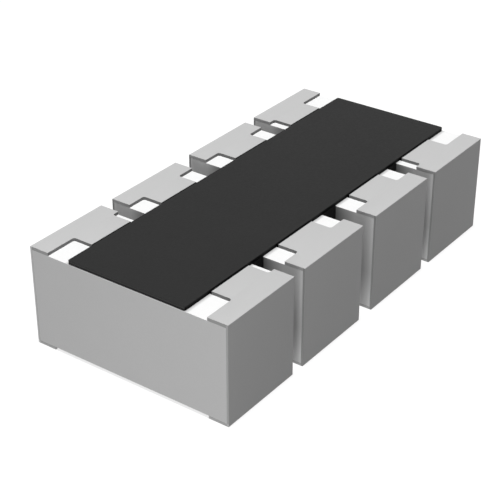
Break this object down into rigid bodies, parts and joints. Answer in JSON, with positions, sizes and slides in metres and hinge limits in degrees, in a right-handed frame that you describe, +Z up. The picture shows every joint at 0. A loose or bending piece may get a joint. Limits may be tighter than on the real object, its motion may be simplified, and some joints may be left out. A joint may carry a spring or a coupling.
{
  "type": "resistor network",
  "caption": "Surface-mount resistor network: isolated thick-film resistors on a slotted white ceramic block, under a black coating, with wrap-around solder terminals.",
  "frame": {"origin": "middle of the outline, on the underside of the terminals, where they sit on the board", "axes": "+X along the block, +Y across it between the two rows of terminals, +Z up, away from the board"},
  "size_m": [0.0032, 0.0016, 0.0008],
  "materials": {
    "alumina": "matte",
    "overcoat": "satin",
    "tin": "matte",
    "nickel": "satin",
    "edge_film": "matte",
    "silver": "matte",
    "resistor_film": "matte",
    "glass": "gloss"
  },
  "bodies": {
    "root": {"substrate": "alumina", "overcoat": "overcoat", "tin_plating_1": "tin", "tin_plating_2": "tin", "tin_plating_3": "tin", "tin_plating_4": "tin", "tin_plating_5": "tin", "tin_plating_6": "tin", "tin_plating_7": "tin", "tin_plating_8": "tin", "nickel_barrier_1": "nickel", "nickel_barrier_2": "nickel", "nickel_barrier_3": "nickel", "nickel_barrier_4": "nickel", "nickel_barrier_5": "nickel", "nickel_barrier_6": "nickel", "nickel_barrier_7": "nickel", "nickel_barrier_8": "nickel", "side_electrode_1": "edge_film", "side_electrode_2": "edge_film", "side_electrode_3": "edge_film", "side_electrode_4": "edge_film", "side_electrode_5": "edge_film", "side_electrode_6": "edge_film", "side_electrode_7": "edge_film", "side_electrode_8": "edge_film", "top_electrode_1": "silver", "top_electrode_2": "silver", "top_electrode_3": "silver", "top_electrode_4": "silver", "top_electrode_5": "silver", "top_electrode_6": "silver", "top_electrode_7": "silver", "top_electrode_8": "silver", "back_electrode_1": "silver", "back_electrode_2": "silver", "back_electrode_3": "silver", "back_electrode_4": "silver", "back_electrode_5": "silver", "back_electrode_6": "silver", "back_electrode_7": "silver", "back_electrode_8": "silver", "resistor_element_1": "resistor_film", "resistor_element_2": "resistor_film", "resistor_element_3": "resistor_film", "resistor_element_4": "resistor_film", "glass_coat_1": "glass", "glass_coat_2": "glass", "glass_coat_3": "glass", "glass_coat_4": "glass"}
  },
  "joints": []
}
